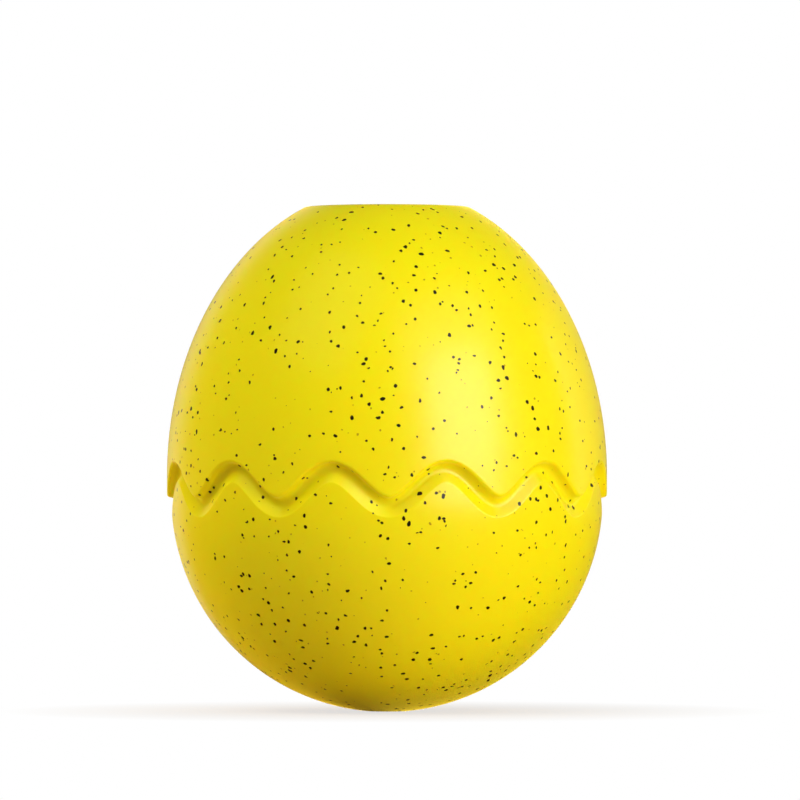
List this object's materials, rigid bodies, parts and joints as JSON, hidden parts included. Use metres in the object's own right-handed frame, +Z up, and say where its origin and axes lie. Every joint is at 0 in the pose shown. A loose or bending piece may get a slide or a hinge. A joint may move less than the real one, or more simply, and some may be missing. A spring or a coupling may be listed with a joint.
{
  "type": "slow feeder dog toy",
  "caption": "Egg-shaped hollow rubber toy with an open rounded mouth on top, a wavy moulded groove round the middle and a vent through the thick floor.",
  "frame": {"origin": "middle of the small flat that the egg stands on", "axes": "+Z up along the egg's own axis, through the mouth; -Y is the front, where a trough of the wave faces"},
  "size_m": [0.09, 0.09, 0.1031],
  "materials": {
    "speckled_rubber": "moulded satin-gloss yellow rubber with fine dark speckles"
  },
  "bodies": {
    "root": {"egg_moulding": "speckled_rubber"}
  },
  "joints": []
}
